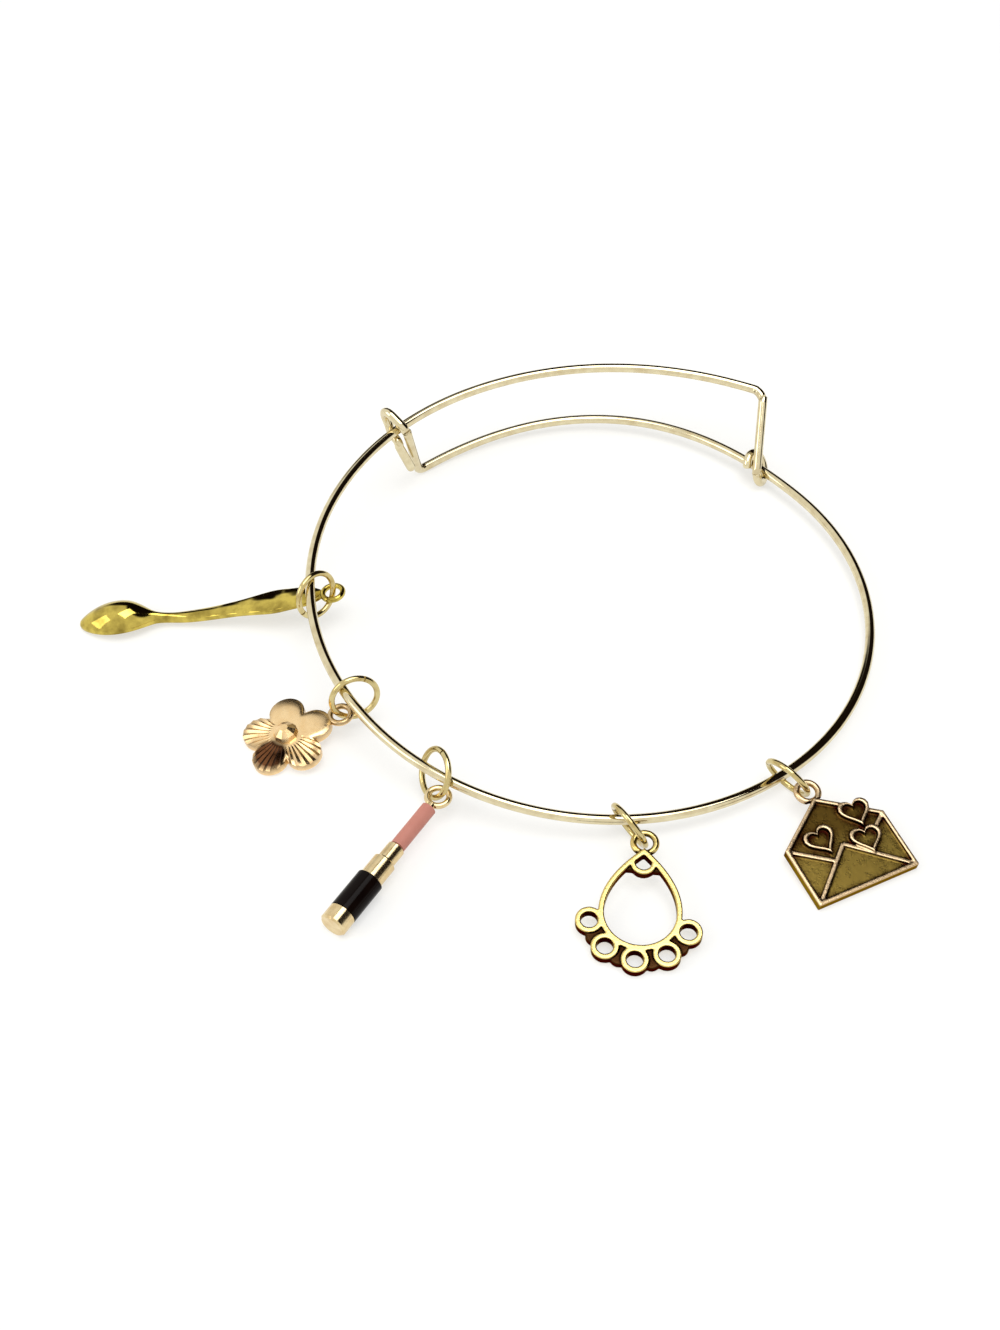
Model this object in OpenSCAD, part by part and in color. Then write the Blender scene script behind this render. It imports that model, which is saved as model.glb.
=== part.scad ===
// Charm bangle.
// One round wire makes a ring of a little more than one turn. A hook at each end of the wire
// is wound once round the neighbouring run, and slides on it. Five split jump rings hang five
// cast charms on the ring. It lies on the floor, z = 0, as it would by itself: on the foot of
// the left hook, on the right hook's loop and on the jump ring at the front.
// The origin is the middle of the ring. +X is to the right, +Y is away and +Z is up.

/* [Bangle wire] */
// Diameter of the ring, between the middles of the wire
bangle_d = 62; // [58:0.5:68]
// Diameter of the wire
wire_d = 1.1; // [1:0.05:1.4]
// Rise of the wire over one full turn
turn_rise = 8.9; // [8:0.1:10]
// How far the lower run bows out between the hooks
run_bow = 1.7; // [0:0.1:2.5]

/* [Hooks] */
// Angle of the left hook's foot on the ring
left_hook_at = 129.5; // [126:0.5:132]
// How far the left hook leans back along the ring
left_hook_lean = 3; // [2:0.1:4]
// How far the left hook's loop stands out from a close turn
left_hook_reach = 1.2; // [0.8:0.1:1.6]
// Angle at which it stands out, above the wire that it holds
left_hook_reach_at = 34; // [25:1:40]
// How far the foot of the left hook stands outside the ring
left_hook_out = 0.6; // [0:0.1:1.2]
// Angle of the right hook's loop on the ring
right_hook_at = 46.5; // [45:0.1:50]
// How far the right hook leans back along the ring
right_hook_lean = 4.1; // [3.5:0.1:5.5]
// How far the right hook leans out of the ring
right_hook_out = 5.5; // [4.5:0.1:6.5]
// Height of the right hook's leg
right_hook_h = 6.2; // [5.5:0.1:7.5]
// Clearance between a hook and the wire that it slides on
hook_gap = 0.2; // [0.2:0.01:0.3]
// Length of wire that lies back along the left hook's leg
tail_len = 3.8; // [2:0.1:4.2]
// Radius of the bend at the foot of the left hook
left_bend_r = 1.1; // [1:0.1:1.6]
// Radius of the bend at the top of the right hook
right_bend_r = 1.7; // [1.2:0.1:2.2]

/* [Jump rings] */
// Outer diameter of a jump ring
ring_od = 5.6; // [5.4:0.1:6.4]
// Diameter of a jump ring's wire
ring_wire_d = 0.65; // [0.6:0.05:0.8]
// Clearance between a jump ring and the metal that it holds
ring_gap = 0.14; // [0.1:0.01:0.2]
// Width of the split in a jump ring
ring_split = 0.15; // [0.1:0.05:0.4]

/* [Charm loops] */
// Diameter of the hole in a charm's loop
loop_hole_d = 1.6; // [1.5:0.05:1.9]
// Thickness of a charm's loop
loop_wire_d = 0.65; // [0.6:0.05:0.8]

/* [Spoon] */
// Length of the spoon, from the middle of its loop to the tip of its bowl
spoon_len = 28.7; // [24:0.1:32]
// Width of the bowl
spoon_bowl_w = 5; // [4:0.1:6]
// Depth of the bowl
spoon_bowl_depth = 1.8; // [1:0.1:2]
// Thickness of the metal at the bowl and along the handle's edges
spoon_wall = 0.5; // [0.4:0.05:0.8]

/* [Flower] */
// Distance from the middle of the flower to the tip of a petal
flower_r = 4.9; // [4:0.1:6]
// Radius of a petal's round end
petal_r = 1.9; // [1.8:0.05:2.1]
// Thickness of the flower
flower_t = 1.15; // [0.9:0.05:1.4]
// How far a petal curves down at its edge
petal_drop = 0.3; // [0.1:0.05:0.4]
// Depth of the cut grooves
groove_depth = 0.15; // [0.05:0.01:0.2]
// Distance from the flower's middle to the start of the grooves
groove_start = 1.7; // [1.6:0.05:2]
// Diameter of the faceted ball in the middle
ball_d = 2.9; // [2.4:0.1:3.1]
// Height of the ball's top above the sheet
ball_rise = 1.1; // [0.8:0.05:1.2]

/* [Lipstick] */
// Length of the pink stick, from the loop's middle to the gold tube
stick_end = 7.3; // [6:0.1:9]
// Diameter of the pink stick
stick_d = 1.6; // [1.3:0.05:1.7]
// Length of the gold inner tube
inner_tube_len = 1.9; // [1.4:0.1:2.6]
// Diameter of the gold inner tube
inner_tube_d = 1.9; // [1.8:0.05:2.1]
// Length of the gold collar
collar_len = 2.5; // [1.5:0.1:3.5]
// Diameter of the gold collar
collar_d = 2.45; // [2.2:0.05:2.5]
// Length of the black enamel band
black_len = 4.6; // [3:0.1:6]
// Diameter of the case, over the enamel
case_d = 2.85; // [2.6:0.05:3]
// Length of the plain gold end of the case
cap_len = 1.7; // [1.2:0.1:2.4]
// Thickness of the enamel
enamel_t = 0.25; // [0.2:0.01:0.28]
// Clearance between the enamel and the metal
enamel_gap = 0.1; // [0.08:0.01:0.12]

/* [Teardrop] */
// Distance from the middle of the loop to the middle of the teardrop's round part
tear_drop = 7.75; // [6.75:0.05:8.75]
// Outer radius of the teardrop's round part
tear_r = 4.05; // [3.65:0.05:4.55]
// Distance from the middle of the loop to the teardrop's tip
tear_tip = 0.8; // [0.6:0.1:1.2]
// Width of the raised rims
tear_rim = 0.55; // [0.45:0.05:0.65]
// Diameter of the hole in each of the five small rings at the foot
foot_hole_d = 1.65; // [1.35:0.05:1.75]
// Width of the raised rim round each small ring
foot_rim = 0.53; // [0.4:0.01:0.6]
// How far each small ring overlaps the teardrop's rim
foot_merge = 0.4; // [0.2:0.05:0.5]
// Angle between two of the small rings
foot_step = 36.3; // [36:0.1:38]
// How far the row of small rings is turned round the teardrop
foot_turn = -2.5; // [-4:0.5:4]
// Radius of the sunk web between two small rings
foot_web_r = 0.9; // [0.8:0.05:1]
// Diameter of the hole inside the tip
tip_hole_d = 1.6; // [1.2:0.1:1.8]
// Thickness of the casting
tear_t = 1.1; // [0.9:0.05:1.6]

/* [Envelope] */
// Width of the envelope
envelope_w = 11.6; // [10:0.1:13]
// Height of the envelope's body
envelope_h = 6.6; // [5.8:0.1:7.6]
// Height of the open flap
flap_h = 4.1; // [3.8:0.1:4.8]
// Width of the raised rims
envelope_rim = 0.4; // [0.35:0.05:0.6]
// Width of the raised fold lines
fold_w = 0.42; // [0.3:0.01:0.5]
// Thickness of the envelope over its rims
envelope_t = 1.05; // [0.9:0.05:1.4]
// Height of the rims above the sunk fields
field_depth = 0.35; // [0.25:0.05:0.45]
// Width of a heart
heart_w = 3.4; // [2.8:0.1:3.6]
// Width of a heart's raised outline
heart_line = 0.42; // [0.35:0.01:0.5]
// Height of the hearts above the rims
heart_rise = 0.15; // [0.05:0.05:0.3]

/* [Hidden] */

wire_gold = [0.86, 0.76, 0.56];
yellow_gold = [0.95, 0.80, 0.35];
peach_gold = [0.90, 0.72, 0.50];
antique_brass = [0.55, 0.45, 0.22];
pink = [0.80, 0.50, 0.45];
black = [0.05, 0.04, 0.04];

// Small vector helpers

function unit(v) = v / norm(v);
function outward(t) = [cos(t), sin(t), 0];
function onward(t) = [sin(t), -cos(t), 0];
function smooth(u) = u * u * (3 - 2 * u);

// Places of the charms, chosen by hand from the way they lie.
// at: angle on the ring; ring_heading and ring_lean: the way the jump ring's plane faces;
// wire_side: the side of the jump ring where the wire lies, and wire_share: how far that way,
// as a share of the play; loop_side: the side of the jump ring that holds the charm's loop;
// heading: the way the charm points from its loop; split: the place of the jump ring's split.

AT = 0;
RING_HEADING = 1;
RING_LEAN = 2;
WIRE_SIDE = 3;
WIRE_SHARE = 4;
LOOP_SIDE = 5;
HEADING = 6;
SPLIT = 7;
spoon_hang = [-176, 48, 77, 109, 1, -28, -177.7, 200];
flower_hang = [-148.4, 200, 98.5, 48, 1, -46, -158.5, 120];
lipstick_hang = [-122, 293, 63, 30, 1, -29, -123.2, 100];
teardrop_hang = [-86, 303, 109, -158, 0.95, -5, -96, 170];
envelope_hang = [-53, 315, 111, -136, 1, -6, -64, 160];

// Jump rings: a ring's plane holds its level axis and its rising axis

ring_r = (ring_od - ring_wire_d) / 2;
function level_axis(h) = outward(h[RING_HEADING]);
function rising_axis(h) = [
    -sin(h[RING_HEADING]) * cos(h[RING_LEAN]),
    cos(h[RING_HEADING]) * cos(h[RING_LEAN]),
    sin(h[RING_LEAN])
];
function in_ring(h, a) = cos(a) * level_axis(h) + sin(a) * rising_axis(h);
// How far the wire can lie from the jump ring's middle before they touch
function ring_play(h) =
    let (lie = onward(h[AT]) * in_ring(h, h[WIRE_SIDE]))
    ring_r - (wire_d / 2 + ring_wire_d / 2 + ring_gap) / sqrt(1 - lie * lie);
function to_wire(h) = h[WIRE_SHARE] * ring_play(h) * in_ring(h, h[WIRE_SIDE]);

// Height of the wire at the front, where the envelope's jump ring lies under it on the floor
front_z = ring_r * sin(envelope_hang[RING_LEAN]) + ring_wire_d / 2 + to_wire(envelope_hang)[2];

// A hook goes round its run in the plane that its leg lies in, as square to the run as can be
function square_to(v, leg) = unit(v - (v * unit(leg)) * unit(leg));
function turn_r(leg, run) = (wire_d + hook_gap) / sqrt(1 - pow(unit(leg) * run, 2));
function hook_side(leg, run, out) =
    let (side = unit(cross(leg, run)))
    side * out > 0 ? side : -side;

// Right hook: the leg's direction, from its top towards its loop
right_leg = right_hook_lean * onward(right_hook_at) - right_hook_out * outward(right_hook_at)
    - [0, 0, right_hook_h];
right_drop = turn_r(right_leg, onward(right_hook_at))
    * sqrt(1 - pow(square_to(onward(right_hook_at), right_leg)[2], 2));

// The wire climbs steadily along its way, and the whole ring tips until it rests on three
// places: [angle, height of the middle of the wire there]. The left hook's foot is lifted by its
// bend, so the wire lies on the floor a little way along, by foot_bend degrees.

foot_bend = 2;
supports = [
    [left_hook_at - foot_bend, wire_d / 2],
    [right_hook_at, right_drop + wire_d / 2],
    [envelope_hang[AT], front_z]
];
support_x = [for (p = supports) cos(p[0])];
support_y = [for (p = supports) sin(p[0])];
support_z = [for (p = supports) p[1] - turn_rise * (left_hook_at - p[0]) / 360];
ones = [1, 1, 1];
support_det = support_x * cross(support_y, ones);
tip_x = support_z * cross(support_y, ones) / support_det;
tip_y = support_x * cross(support_z, ones) / support_det;
base_z = support_x * cross(support_y, support_z) / support_det;

// s is the way along the wire in degrees, clockwise from the foot of the left hook
ring_radius = bangle_d / 2;
function ring_angle(s) = left_hook_at - s;
function ring_z(s) =
    turn_rise * s / 360 + tip_x * cos(ring_angle(s)) + tip_y * sin(ring_angle(s)) + base_z;
bow_past_hook = 11;
bow_end = left_hook_at - right_hook_at + bow_past_hook;
function bow(s) =
    let (u = s / bow_end)
    u < 1 ? left_hook_out * pow(1 - u, 2) + run_bow * pow(sin(180 * u), 2) : 0;
function on_circle(s, out, up) =
    (ring_radius + out) * outward(ring_angle(s)) + [0, 0, ring_z(s) + up];

// Right hook: its loop goes round the lower run, and its top ends the upper run
right_s = left_hook_at - right_hook_at;
right_middle = on_circle(right_s, bow(right_s), 0);
right_run = unit(on_circle(right_s + 0.5, bow(right_s + 0.5), 0) - right_middle);
right_turn_r = turn_r(right_leg, right_run);
right_side = hook_side(right_leg, right_run, outward(right_hook_at));
right_leg_end = right_middle - right_turn_r * right_side;
right_top = right_leg_end - right_leg;
right_top_s = left_hook_at + 360 - atan2(right_top[1], right_top[0]);

// The upper run leaves the circle before it reaches the right hook
splay_start = 374;
function splay(s) = s < splay_start ? 0 : pow((s - splay_start) / (right_top_s - splay_start), 2);
top_out = norm([right_top[0], right_top[1]]) - ring_radius;
top_up = right_top[2] - ring_z(right_top_s);
function wire_at(s) = on_circle(s, bow(s) + top_out * splay(s), top_up * splay(s));

// Left hook: its foot starts the lower run, and its loop goes round the upper run
left_s = 360 - left_hook_lean / ring_radius * 180 / PI;
left_foot = wire_at(0);
left_middle = wire_at(left_s);
left_run = unit(wire_at(left_s + 0.5) - wire_at(left_s - 0.5));
left_out = outward(ring_angle(left_s));
first_leg = left_middle - (wire_d + hook_gap) * left_out - left_foot;
left_side = hook_side(first_leg, left_run, left_out);
left_turn_r = turn_r(first_leg, left_run);
left_leg = left_middle - left_turn_r * left_side - left_foot;

// A hook's loop, from the end of its leg at 180 degrees to the end of its turn. It stands out by
// reach round one angle. It moves back along the run by a number of pitches on its way, which
// starts when a share of the way, late, is behind it.
loop_step = 15;
reach_width = 35;
function hook_loop(middle, leg, side, run, turn, reach, reach_at, last, pitches, late) =
    let (
        up = unit(leg),
        back = -run / abs(run * cross(side, up)),
        pitch = (wire_d + hook_gap) * pitches,
        steps = round((180 - last) / loop_step)
    )
    [for (i = [0 : steps])
        let (
            a = 180 - (180 - last) * i / steps,
            r = turn + reach * exp(-pow((a - reach_at) / reach_width, 2)),
            moved = smooth(max(0, i / steps - late) / (1 - late))
        )
        middle + pitch * moved * back + r * (cos(a) * side + sin(a) * up)];

// The left hook's loop ends below its run, and its tail turns down and lies along its leg
left_last = -90;
left_late = 0.45;
left_pitches = 0.75;
tail_bend_r = wire_d * 0.6;
tail_in = wire_d * 0.8;
tail_end_in = wire_d * 1.9;
left_up = unit(left_leg);
left_back = -left_run / abs(left_run * cross(left_side, left_up)) * (wire_d + hook_gap);
tail_start = left_middle - left_turn_r * left_up;
left_tail = concat(
    [for (a = [30 : 30 : 90])
        tail_start + (left_pitches + (1 - left_pitches) * a / 90) * left_back
            - (tail_in - tail_bend_r) * left_side
            - tail_bend_r * (sin(a) * left_side + (1 - cos(a)) * left_up)],
    [tail_start + left_back - tail_end_in * left_side - (tail_bend_r + tail_len) * left_up]
);
left_loop = hook_loop(
    left_middle, left_leg, left_side, left_run, left_turn_r,
    left_hook_reach, left_hook_reach_at, left_last, left_pitches, left_late
);
// The right hook's wire goes round once and a little more
right_last = -195;
right_loop = hook_loop(
    right_middle, right_leg, right_side, right_run, right_turn_r,
    0, 0, right_last, (180 - right_last) / 360, 0
);

// A round bend from direction d1 into direction d2 at a corner
bend_steps = 5;
function bend(corner, d1, d2, r) =
    let (
        angle = acos(d1 * d2),
        cut = r * tan(angle / 2),
        pull = cut - 4 / 3 * r * tan(angle / 4)
    )
    [for (i = [0 : bend_steps])
        let (u = i / bend_steps)
        corner - (pow(1 - u, 3) * cut + 3 * pow(1 - u, 2) * u * pull) * d1
            + (3 * (1 - u) * u * u * pull + pow(u, 3) * cut) * d2];
function bend_cut(d1, d2, r) = r * tan(acos(d1 * d2) / 2) / ring_radius * 180 / PI;

function reversed(v) = [for (i = [len(v) - 1 : -1 : 0]) v[i]];
run_step = 5;
run_start_dir = unit(wire_at(0.5) - wire_at(0));
run_end_dir = unit(wire_at(right_top_s) - wire_at(right_top_s - 0.5));
run_start = bend_cut(-unit(left_leg), run_start_dir, left_bend_r);
run_end = right_top_s - bend_cut(run_end_dir, unit(right_leg), right_bend_r);
run_count = ceil((run_end - run_start) / run_step);
wire_path = concat(
    reversed(left_tail),
    reversed(left_loop),
    bend(left_foot, -unit(left_leg), run_start_dir, left_bend_r),
    [for (i = [1 : run_count - 1]) wire_at(run_start + (run_end - run_start) * i / run_count)],
    bend(right_top, run_end_dir, unit(right_leg), right_bend_r),
    right_loop
);

// A round wire swept along a path, with softly rounded ends
wire_sides = 12;
function path_dir(p, i) = unit(p[min(i + 1, len(p) - 1)] - p[max(i - 1, 0)]);
function path_sides(p) =
    [for (
        i = 0, n = square_to([0, 0, 1], path_dir(p, 0));
        i < len(p);
        i = i + 1, n = i < len(p) ? square_to(n, path_dir(p, i)) : n
    ) n];
// How far past its path an end of the wire reaches, and how wide it is there, as shares of d
end_reaches = [0.3, 0.2];
end_widths = [0.5, 0.85];
module swept_wire(p, d) {
    last = len(p) - 1;
    whole = concat(
        [for (k = [0, 1]) p[0] - d * end_reaches[k] * path_dir(p, 0)],
        p,
        [for (k = [1, 0]) p[last] + d * end_reaches[k] * path_dir(p, last)]
    );
    rings = len(whole);
    sides = path_sides(whole);
    share = [for (i = [0 : rings - 1]) i < 2 ? end_widths[i]
        : i > rings - 3 ? end_widths[rings - 1 - i] : 1];
    points = [for (i = [0 : rings - 1], k = [0 : wire_sides - 1])
        let (a = 360 * k / wire_sides)
        whole[i] + share[i] * d / 2
            * (cos(a) * sides[i] + sin(a) * cross(path_dir(whole, i), sides[i]))];
    skin = [for (i = [0 : rings - 2], k = [0 : wire_sides - 1], half = [0, 1])
        let (
            a = i * wire_sides + k,
            b = i * wire_sides + (k + 1) % wire_sides
        )
        half == 0 ? [a, a + wire_sides, b + wire_sides] : [a, b + wire_sides, b]];
    start_cap = [[for (k = [0 : wire_sides - 1]) k]];
    end_cap = [[for (k = [wire_sides - 1 : -1 : 0]) (rings - 1) * wire_sides + k]];
    polyhedron(points, concat(start_cap, skin, end_cap), convexity = 10);
}

module bangle_wire() {
    color(wire_gold) swept_wire(wire_path, wire_d);
}

// Jump rings

function hang_wire(h) = wire_at(left_hook_at - h[AT]);
function ring_middle(h) = hang_wire(h) - to_wire(h);
function frame_of(x, y, z, o) = [
    [x[0], y[0], z[0], o[0]],
    [x[1], y[1], z[1], o[1]],
    [x[2], y[2], z[2], o[2]],
    [0, 0, 0, 1]
];
module jump_ring(h) {
    x = level_axis(h);
    y = rising_axis(h);
    split_angle = ring_split / ring_r * 180 / PI;
    color(wire_gold)
    multmatrix(frame_of(x, y, cross(x, y), ring_middle(h)))
    rotate([0, 0, h[SPLIT] + split_angle / 2])
    rotate_extrude(angle = 360 - split_angle, $fn = 72)
    translate([ring_r, 0])
    circle(d = ring_wire_d, $fn = 24);
}

module spoon_ring() jump_ring(spoon_hang);
module flower_ring() jump_ring(flower_hang);
module lipstick_ring() jump_ring(lipstick_hang);
module teardrop_ring() jump_ring(teardrop_hang);
module envelope_ring() jump_ring(envelope_hang);

// Charms. Each is drawn with its loop's middle at the origin, its length along +X and its
// face up. It hangs on its jump ring by the loop, and dips until it touches the floor. Feet are
// the places that can touch: [how far along, how far below the loop's middle].

loop_r = (loop_hole_d + loop_wire_d) / 2;
function loop_place(h) = ring_middle(h) + ring_r * in_ring(h, h[LOOP_SIDE]);
function dip(h, feet) =
    min([for (f = feet) asin(loop_place(h)[2] / norm(f)) - atan2(f[1], f[0])]);
module hung(h, feet) {
    t = dip(h, feet);
    x = cos(t) * outward(h[HEADING]) - [0, 0, sin(t)];
    y = [-sin(h[HEADING]), cos(h[HEADING]), 0];
    multmatrix(frame_of(x, y, cross(x, y), loop_place(h))) children();
}
module charm_loop() {
    rotate_extrude($fn = 48) translate([loop_r, 0]) circle(d = loop_wire_d, $fn = 24);
}

// Spoon. It lies with its bowl turned down, so its back is seen. Columns: place along the spoon
// as a share of its length, half width as a share of the bowl's half width, and as shares of the
// bowl's depth the height of the edge, how far the back stands above it and how far the
// underside hangs below it. An underside that is hollow has a share below zero.
spoon_sections = [
    [0.045, 0.20, 0.00, 0.04, 0.04],
    [0.09, 0.52, -0.02, 0.12, 0.08],
    [0.16, 0.60, -0.08, 0.16, 0.08],
    [0.23, 0.68, -0.15, 0.16, 0.08],
    [0.30, 0.56, -0.23, 0.16, 0.08],
    [0.38, 0.42, -0.33, 0.16, 0.10],
    [0.48, 0.34, -0.45, 0.16, 0.11],
    [0.58, 0.29, -0.48, 0.18, 0.12],
    [0.65, 0.22, -0.38, 0.26, 0.10],
    [0.70, 0.27, -0.24, 0.38, 0.00],
    [0.735, 0.52, -0.10, 0.56, -0.16],
    [0.78, 0.84, 0.08, 0.90, -0.56],
    [0.83, 1.00, 0.16, 0.98, -0.78],
    [0.89, 0.95, 0.15, 0.90, -0.72],
    [0.945, 0.70, 0.10, 0.60, -0.44],
    [0.985, 0.36, 0.03, 0.26, -0.12],
    [1.00, 0.12, 0.00, 0.06, 0.02]
];
spoon_across = 6;
function spoon_rim(row) =
    let (
        x = row[0] * spoon_len,
        w = row[1] * spoon_bowl_w / 2,
        edge = row[2] * spoon_bowl_depth,
        top = row[3] * spoon_bowl_depth,
        belly = row[4] * spoon_bowl_depth
    )
    concat(
        [for (k = [0 : spoon_across])
            let (v = cos(180 * k / spoon_across))
            [x, w * v, edge + spoon_wall / 2 + top * (1 - v * v)]],
        [for (k = [spoon_across : -1 : 0])
            let (v = cos(180 * k / spoon_across))
            [x, w * v, edge - spoon_wall / 2 - belly * (1 - v * v)]]
    );
// Passes smoothly through four neighbouring rows of a table
function eased(a, b, c, d, u) =
    0.5 * (2 * b + (c - a) * u + (2 * a - 5 * b + 4 * c - d) * u * u
        + (3 * b - a - 3 * c + d) * u * u * u);
function eased_rows(rows, steps) =
    let (last = len(rows) - 1)
    concat(
        [for (i = [0 : last - 1], j = [0 : steps - 1])
            eased(rows[max(i - 1, 0)], rows[i], rows[i + 1], rows[min(i + 2, last)], j / steps)],
        [rows[last]]
    );
module loft(rims) {
    n = len(rims[0]);
    count = len(rims);
    points = [for (rim = rims, p = rim) p];
    skin = [for (i = [0 : count - 2], k = [0 : n - 1], half = [0, 1])
        let (a = i * n + k, b = i * n + (k + 1) % n)
        half == 0 ? [a, a + n, b + n] : [a, b + n, b]];
    start_cap = [[for (k = [0 : n - 1]) k]];
    end_cap = [[for (k = [n - 1 : -1 : 0]) (count - 1) * n + k]];
    polyhedron(points, concat(start_cap, skin, end_cap), convexity = 6);
}
spoon_rows = eased_rows(spoon_sections, 2);
handle_end = 0.4;
spoon_feet = [for (row = spoon_rows)
    if (row[0] > handle_end)
        [row[0] * spoon_len, spoon_wall / 2 + spoon_bowl_depth * (max(row[4], 0) - row[2])]];
module spoon_charm() {
    color(yellow_gold)
    hung(spoon_hang, spoon_feet) {
        loft([for (row = spoon_rows) spoon_rim(row)]);
        charm_loop();
    }
}

// Flower. A flat sheet of five round petals, three of them with cut grooves, round a faceted
// ball that is sunk in the sheet.
petals = 5;
petal_angle = 360 / petals;
petal_place = flower_r - petal_r;
flower_middle = loop_r + flower_r;
flower_under = flower_t / 2;
flower_feet = [[flower_middle + petal_place * cos(petal_angle / 2) + petal_r, flower_under]];
grooved_petals = [0, 1, 4];
grooves = 8;
groove_step = petal_angle / grooves / 2;
// Rows of the flower's face: shares of the way from the start of the grooves to the edge
petal_shares = [0, 0.1, 0.35, 0.6, 0.8, 0.93, 1];
ball_sides = 10;
ball_turn = 20;
function off_petal(a) = (a + petal_angle / 2) % petal_angle - petal_angle / 2;
function petal_of(a) = floor((a + petal_angle / 2) / petal_angle) % petals;
function flower_edge(a) =
    let (off = off_petal(a))
    petal_place * cos(off) + sqrt(max(0, petal_r * petal_r - pow(petal_place * sin(off), 2)));
function in_groove(a, odd) = odd == 1 && len(search(petal_of(a), grooved_petals)) > 0;
// A place on the flower's face. Odd steps of the angle lie in a groove, which grows from its
// start.
groove_growth = 4;
function petal_point(share, a, odd) =
    let (cut = in_groove(a, odd) ? groove_depth * min(1, groove_growth * share) : 0)
    (groove_start + share * (flower_edge(a) - groove_start)) * outward(a)
        + [0, 0, flower_t - petal_drop * pow(share, 4) - cut];
module flower_sheet() {
    steps = petals * grooves * 2;
    angle = [for (i = [0 : steps - 1]) i * groove_step];
    face = [for (share = petal_shares, i = [0 : steps - 1])
        petal_point(share, angle[i], i % 2)];
    back = [for (i = [0 : steps - 1]) flower_edge(angle[i]) * outward(angle[i])];
    centre = len(face) + len(back);
    skin = [for (j = [0 : len(petal_shares) - 1], i = [0 : steps - 1], half = [0, 1])
        let (a = j * steps + i, b = j * steps + (i + 1) % steps)
        half == 0 ? [a, b + steps, a + steps] : [a, b, b + steps]];
    middle = [for (i = [0 : steps - 1]) [centre, (i + 1) % steps, i]];
    under = [for (i = [0 : steps - 1])
        [centre + 1, len(face) + i, len(face) + (i + 1) % steps]];
    polyhedron(
        concat(face, back, [[0, 0, flower_t], [0, 0, 0]]),
        concat(skin, middle, under),
        convexity = 8
    );
}
module flower_charm() {
    color(peach_gold)
    hung(flower_hang, flower_feet) {
        translate([flower_middle, 0, -flower_under])
        rotate(petal_angle / 2)
        union() {
            flower_sheet();
            difference() {
                translate([0, 0, flower_t + ball_rise - ball_d / 2])
                rotate(ball_turn)
                sphere(d = ball_d, $fn = ball_sides);
                translate([-ball_d, -ball_d, -2 * ball_d])
                cube([2 * ball_d, 2 * ball_d, 2 * ball_d + flower_under]);
            }
        }
        charm_loop();
    }
}

// Lipstick. The metal is one turned piece, with a neck for each band of enamel.
core_d = stick_d - 2 * (enamel_t + enamel_gap);
case_neck_d = case_d - 2 * (enamel_t + enamel_gap);
collar_start = stick_end + inner_tube_len;
black_start = collar_start + collar_len;
black_end = black_start + black_len;
lipstick_end = black_end + cap_len;
loop_to_stick = 0.25;
stick_tip = loop_r + loop_wire_d / 2 + loop_to_stick;
edge_round = 0.2;
lipstick_feet = [[lipstick_end - edge_round, case_d / 2]];
module along_x() rotate([0, 90, 0]) children();
module lipstick_body() {
    color(yellow_gold)
    hung(lipstick_hang, lipstick_feet) {
        charm_loop();
        along_x() translate([0, 0, loop_r]) cylinder(d = core_d, h = stick_end - loop_r, $fn = 32);
        along_x() rotate_extrude($fn = 48) polygon([
            [0, stick_end],
            [inner_tube_d / 2 - edge_round / 2, stick_end],
            [inner_tube_d / 2, stick_end + edge_round / 2],
            [inner_tube_d / 2, collar_start],
            [collar_d / 2 - edge_round, collar_start],
            [collar_d / 2, collar_start + edge_round],
            [collar_d / 2, black_start],
            [case_neck_d / 2, black_start],
            [case_neck_d / 2, black_end],
            [case_d / 2, black_end],
            [case_d / 2, lipstick_end - edge_round],
            [case_d / 2 - edge_round, lipstick_end],
            [0, lipstick_end]
        ]);
    }
}
module lipstick_black_enamel() {
    color(black)
    hung(lipstick_hang, lipstick_feet)
    along_x()
    difference() {
        translate([0, 0, black_start + enamel_gap])
        cylinder(d = case_d, h = black_len - 2 * enamel_gap, $fn = 48);
        translate([0, 0, black_start])
        cylinder(d = case_neck_d + 2 * enamel_gap, h = black_len, $fn = 48);
    }
}
// The stick is cut off at a slant, as a new lipstick is
slant = 50;
module lipstick_pink_enamel() {
    color(pink)
    hung(lipstick_hang, lipstick_feet)
    difference() {
        along_x() translate([0, 0, stick_tip])
        cylinder(d = stick_d, h = stick_end - enamel_gap - stick_tip, $fn = 40);
        along_x() cylinder(d = core_d + 2 * enamel_gap, h = stick_end, $fn = 32);
        translate([stick_tip, stick_d / 2, 0])
        rotate([0, 0, slant])
        translate([-stick_d, 0, -stick_d])
        cube([3 * stick_d, 2 * stick_d, 2 * stick_d]);
    }
}

// Teardrop. Raised rims stand on a sunk web, with a hole through each ring. Its sides bow out
// from the tip and pass into the round part.
tear_steps = 18;
function tear_outline(r, tip) =
    let (long = tear_drop - tip)
    concat(
        [for (i = [0 : tear_steps - 1])
            let (u = 1 - i / tear_steps)
            [tear_drop - u * long, r * (1 - u * u)]],
        [for (i = [0 : 2 * tear_steps])
            let (a = 90 - 180 * i / (2 * tear_steps))
            [tear_drop + r * cos(a), r * sin(a)]],
        [for (i = [1 : tear_steps - 1])
            let (u = i / tear_steps)
            [tear_drop - u * long, -r * (1 - u * u)]]
    );
tip_half = atan(2 * tear_r / (tear_drop - tear_tip));
inner_tip = tear_tip + tear_rim / sin(tip_half);
foot_r = foot_hole_d / 2 + foot_rim;
foot_place = tear_r + foot_r - foot_merge;
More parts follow.
